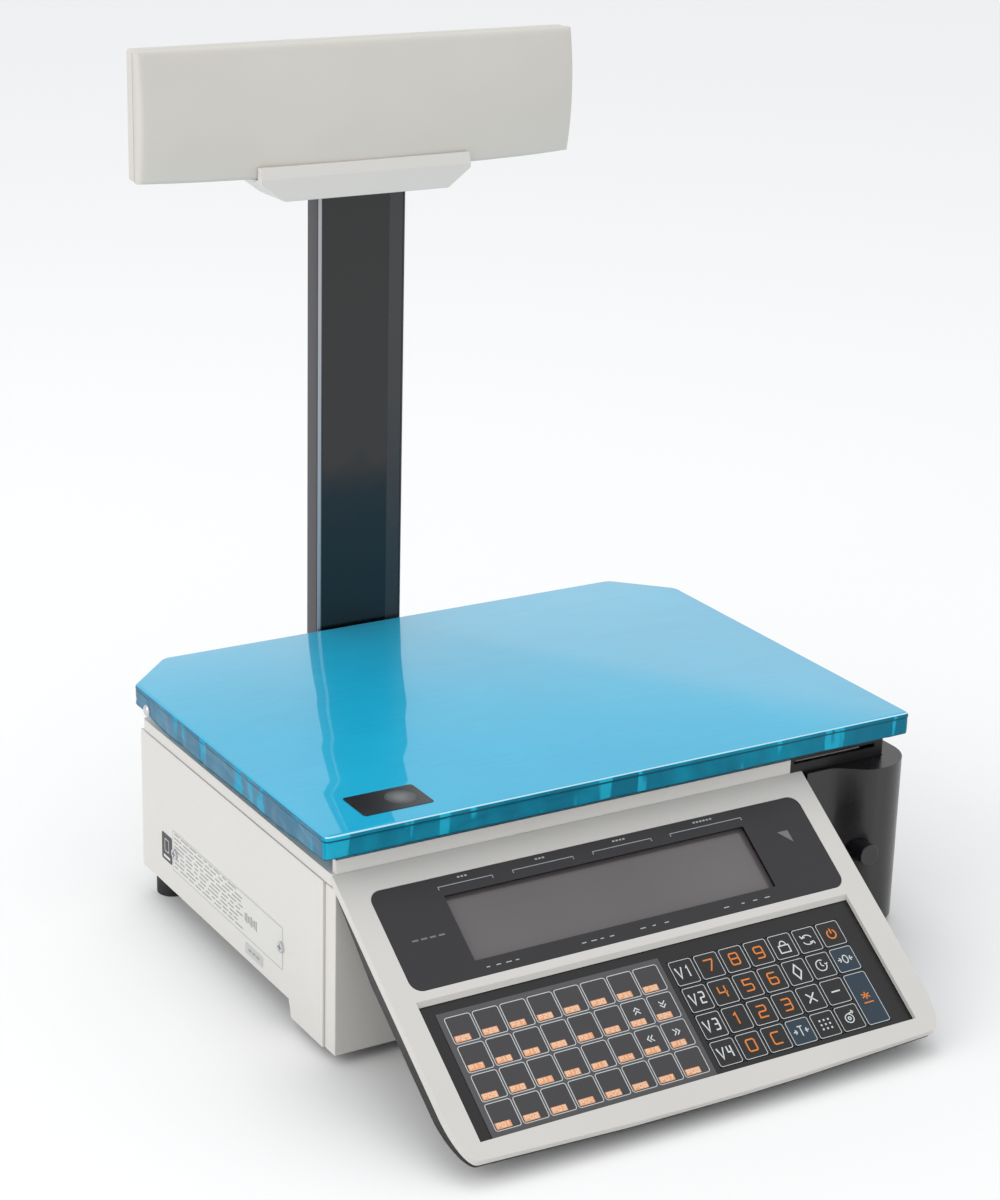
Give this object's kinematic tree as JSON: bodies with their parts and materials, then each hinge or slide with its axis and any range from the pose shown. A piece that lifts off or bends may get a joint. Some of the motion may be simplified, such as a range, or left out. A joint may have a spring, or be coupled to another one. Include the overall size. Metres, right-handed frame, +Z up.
{
  "type": "retail price scale",
  "caption": "Counter price scale with a low box body, film-wrapped weighing tray, sloped keyboard console, side label printer and a flat pole with a wide display head.",
  "frame": {"origin": "on the table, at the middle of the plan of the whole scale", "axes": "+Z up, +X to the operator's right, +Y from the operator to the customer"},
  "size_m": [0.392, 0.4272, 0.497],
  "materials": {
    "cream_plastic": "fine spark-eroded texture, warm off-white",
    "black_plastic": "satin moulded black",
    "film_steel": "brushed stainless steel under glossy blue protective film",
    "support_casting": "painted casting",
    "aluminium": "machined",
    "pole_metal": "glossy dark anodised extrusion",
    "window_print": "printed satin film window",
    "lcd": "grey display glass",
    "membrane": "printed membrane, fine matt texture",
    "card": "grey printed card",
    "key_dark": "printed membrane pad",
    "key_blue": "printed membrane pad, slate blue",
    "board_green": "solder mask",
    "screw_steel": "zinc plated",
    "rubber": "moulded rubber",
    "label_stock": "white label roll",
    "housing_black_gloss": "smooth dark plastic"
  },
  "bodies": {
    "root": {"base_chassis": "black_plastic", "main_housing": "cream_plastic", "front_panel": "cream_plastic", "top_cover": "cream_plastic", "load_cell": "aluminium", "main_board": "board_green", "power_supply": "screw_steel", "power_inlet": "black_plastic", "console_shell": "cream_plastic", "console_bottom": "black_plastic", "display_window": "window_print", "operator_lcd": "lcd", "key_overlay": "membrane", "preset_card": "card", "pole": "pole_metal", "head_cradle": "cream_plastic", "head_operator_shell": "cream_plastic", "head_customer_shell": "cream_plastic", "customer_display": "housing_black_gloss", "case_screws": "screw_steel", "printer_frame": "black_plastic", "print_head": "aluminium"},
    "platter_support": {"platter_support": "support_casting"},
    "platter": {"platter": "film_steel"},
    "printer_door": {"printer_door": "black_plastic"},
    "release_button": {"release_button": "black_plastic"},
    "label_roll": {"label_roll": "label_stock"},
    "platen_roller": {"platen_roller": "rubber"},
    "power_switch": {"power_switch": "housing_black_gloss"},
    "foot_front_left": {"foot_front_left": "rubber"},
    "foot_front_right": {"foot_front_right": "rubber"},
    "foot_rear_left": {"foot_rear_left": "rubber"},
    "foot_rear_right": {"foot_rear_right": "rubber"},
    "key_v1": {"key_v1": "key_dark"},
    "key_7": {"key_7": "key_dark"},
    "key_8": {"key_8": "key_dark"},
    "key_9": {"key_9": "key_dark"},
    "key_fix": {"key_fix": "key_dark"},
    "key_repeat": {"key_repeat": "key_dark"},
    "key_standby": {"key_standby": "key_dark"},
    "key_v2": {"key_v2": "key_dark"},
    "key_4": {"key_4": "key_dark"},
    "key_5": {"key_5": "key_dark"},
    "key_6": {"key_6": "key_dark"},
    "key_diamond": {"key_diamond": "key_dark"},
    "key_auto": {"key_auto": "key_dark"},
    "key_zero_set": {"key_zero_set": "key_blue"},
    "key_v3": {"key_v3": "key_dark"},
    "key_1": {"key_1": "key_dark"},
    "key_2": {"key_2": "key_dark"},
    "key_3": {"key_3": "key_dark"},
    "key_multiply": {"key_multiply": "key_dark"},
    "key_minus": {"key_minus": "key_dark"},
    "key_print": {"key_print": "key_blue"},
    "key_v4": {"key_v4": "key_dark"},
    "key_0": {"key_0": "key_dark"},
    "key_clear": {"key_clear": "key_dark"},
    "key_tare": {"key_tare": "key_blue"},
    "key_lookup": {"key_lookup": "key_dark"},
    "key_feed": {"key_feed": "key_dark"}
  },
  "joints": [
    {"name": "door_swing", "type": "hinge", "parent": "root", "child": "printer_door", "pos_m": [0.187, 0.16, 0.06], "axis": [0, 0, 1], "range_deg": [0, 100]},
    {"name": "button_press", "type": "slide", "parent": "printer_door", "child": "release_button", "axis": [0, 1, 0], "range_m": [0, 0.003], "stiffness_N_per_m": 600, "springref_m": -0.003},
    {"name": "label_roll_spin", "type": "hinge", "parent": "root", "child": "label_roll", "pos_m": [0.14, 0.062, 0.06], "axis": [1, 0, 0], "continuous": true},
    {"name": "platen_spin", "type": "hinge", "parent": "root", "child": "platen_roller", "pos_m": [0.14, -0.042, 0.106], "axis": [1, 0, 0], "continuous": true},
    {"name": "platter_lift", "type": "slide", "parent": "platter_support", "child": "platter", "axis": [0, 0, 1], "range_m": [0, 0.06]},
    {"name": "platter_weigh", "type": "slide", "parent": "root", "child": "platter_support", "axis": [0, 0, 1], "range_m": [-0.0005, 0], "stiffness_N_per_m": 200000, "springref_m": 0.0003},
    {"name": "power_rocker", "type": "hinge", "parent": "root", "child": "power_switch", "pos_m": [-0.1695, 0.026, 0.0185], "axis": [1, 0, 0], "range_deg": [0, 14]},
    {"name": "screw_foot_front_left", "type": "hinge", "parent": "root", "child": "foot_front_left", "pos_m": [-0.158, -0.038, 0.02], "axis": [0, 0, 1], "continuous": true},
    {"name": "screw_foot_front_right", "type": "hinge", "parent": "root", "child": "foot_front_right", "pos_m": [0.15, -0.038, 0.02], "axis": [0, 0, 1], "continuous": true},
    {"name": "screw_foot_rear_left", "type": "hinge", "parent": "root", "child": "foot_rear_left", "pos_m": [-0.173, 0.1675, 0.02], "axis": [0, 0, 1], "continuous": true},
    {"name": "screw_foot_rear_right", "type": "hinge", "parent": "root", "child": "foot_rear_right", "pos_m": [0.15, 0.146, 0.02], "axis": [0, 0, 1], "continuous": true},
    {"name": "type_key_v1", "type": "slide", "parent": "root", "child": "key_v1", "axis": [0, 0.5592, -0.829], "range_m": [0, 0.0005], "stiffness_N_per_m": 200, "springref_m": -0.003},
    {"name": "type_key_7", "type": "slide", "parent": "root", "child": "key_7", "axis": [0, 0.5592, -0.829], "range_m": [0, 0.0005], "stiffness_N_per_m": 200, "springref_m": -0.003},
    {"name": "type_key_8", "type": "slide", "parent": "root", "child": "key_8", "axis": [0, 0.5592, -0.829], "range_m": [0, 0.0005], "stiffness_N_per_m": 200, "springref_m": -0.003},
    {"name": "type_key_9", "type": "slide", "parent": "root", "child": "key_9", "axis": [0, 0.5592, -0.829], "range_m": [0, 0.0005], "stiffness_N_per_m": 200, "springref_m": -0.003},
    {"name": "type_key_fix", "type": "slide", "parent": "root", "child": "key_fix", "axis": [0, 0.5592, -0.829], "range_m": [0, 0.0005], "stiffness_N_per_m": 200, "springref_m": -0.003},
    {"name": "type_key_repeat", "type": "slide", "parent": "root", "child": "key_repeat", "axis": [0, 0.5592, -0.829], "range_m": [0, 0.0005], "stiffness_N_per_m": 200, "springref_m": -0.003},
    {"name": "type_key_standby", "type": "slide", "parent": "root", "child": "key_standby", "axis": [0, 0.5592, -0.829], "range_m": [0, 0.0005], "stiffness_N_per_m": 200, "springref_m": -0.003},
    {"name": "type_key_v2", "type": "slide", "parent": "root", "child": "key_v2", "axis": [0, 0.5592, -0.829], "range_m": [0, 0.0005], "stiffness_N_per_m": 200, "springref_m": -0.003},
    {"name": "type_key_4", "type": "slide", "parent": "root", "child": "key_4", "axis": [0, 0.5592, -0.829], "range_m": [0, 0.0005], "stiffness_N_per_m": 200, "springref_m": -0.003},
    {"name": "type_key_5", "type": "slide", "parent": "root", "child": "key_5", "axis": [0, 0.5592, -0.829], "range_m": [0, 0.0005], "stiffness_N_per_m": 200, "springref_m": -0.003},
    {"name": "type_key_6", "type": "slide", "parent": "root", "child": "key_6", "axis": [0, 0.5592, -0.829], "range_m": [0, 0.0005], "stiffness_N_per_m": 200, "springref_m": -0.003},
    {"name": "type_key_diamond", "type": "slide", "parent": "root", "child": "key_diamond", "axis": [0, 0.5592, -0.829], "range_m": [0, 0.0005], "stiffness_N_per_m": 200, "springref_m": -0.003},
    {"name": "type_key_auto", "type": "slide", "parent": "root", "child": "key_auto", "axis": [0, 0.5592, -0.829], "range_m": [0, 0.0005], "stiffness_N_per_m": 200, "springref_m": -0.003},
    {"name": "type_key_zero_set", "type": "slide", "parent": "root", "child": "key_zero_set", "axis": [0, 0.5592, -0.829], "range_m": [0, 0.0005], "stiffness_N_per_m": 200, "springref_m": -0.003},
    {"name": "type_key_v3", "type": "slide", "parent": "root", "child": "key_v3", "axis": [0, 0.5592, -0.829], "range_m": [0, 0.0005], "stiffness_N_per_m": 200, "springref_m": -0.003},
    {"name": "type_key_1", "type": "slide", "parent": "root", "child": "key_1", "axis": [0, 0.5592, -0.829], "range_m": [0, 0.0005], "stiffness_N_per_m": 200, "springref_m": -0.003},
    {"name": "type_key_2", "type": "slide", "parent": "root", "child": "key_2", "axis": [0, 0.5592, -0.829], "range_m": [0, 0.0005], "stiffness_N_per_m": 200, "springref_m": -0.003},
    {"name": "type_key_3", "type": "slide", "parent": "root", "child": "key_3", "axis": [0, 0.5592, -0.829], "range_m": [0, 0.0005], "stiffness_N_per_m": 200, "springref_m": -0.003},
    {"name": "type_key_multiply", "type": "slide", "parent": "root", "child": "key_multiply", "axis": [0, 0.5592, -0.829], "range_m": [0, 0.0005], "stiffness_N_per_m": 200, "springref_m": -0.003},
    {"name": "type_key_minus", "type": "slide", "parent": "root", "child": "key_minus", "axis": [0, 0.5592, -0.829], "range_m": [0, 0.0005], "stiffness_N_per_m": 200, "springref_m": -0.003},
    {"name": "type_key_print", "type": "slide", "parent": "root", "child": "key_print", "axis": [0, 0.5592, -0.829], "range_m": [0, 0.0005], "stiffness_N_per_m": 200, "springref_m": -0.003},
    {"name": "type_key_v4", "type": "slide", "parent": "root", "child": "key_v4", "axis": [0, 0.5592, -0.829], "range_m": [0, 0.0005], "stiffness_N_per_m": 200, "springref_m": -0.003},
    {"name": "type_key_0", "type": "slide", "parent": "root", "child": "key_0", "axis": [0, 0.5592, -0.829], "range_m": [0, 0.0005], "stiffness_N_per_m": 200, "springref_m": -0.003},
    {"name": "type_key_clear", "type": "slide", "parent": "root", "child": "key_clear", "axis": [0, 0.5592, -0.829], "range_m": [0, 0.0005], "stiffness_N_per_m": 200, "springref_m": -0.003},
    {"name": "type_key_tare", "type": "slide", "parent": "root", "child": "key_tare", "axis": [0, 0.5592, -0.829], "range_m": [0, 0.0005], "stiffness_N_per_m": 200, "springref_m": -0.003},
    {"name": "type_key_lookup", "type": "slide", "parent": "root", "child": "key_lookup", "axis": [0, 0.5592, -0.829], "range_m": [0, 0.0005], "stiffness_N_per_m": 200, "springref_m": -0.003},
    {"name": "type_key_feed", "type": "slide", "parent": "root", "child": "key_feed", "axis": [0, 0.5592, -0.829], "range_m": [0, 0.0005], "stiffness_N_per_m": 200, "springref_m": -0.003}
  ],
  "couplings": [
    {"joint": "platen_spin", "follows": "label_roll_spin", "ratio": 6}
  ]
}
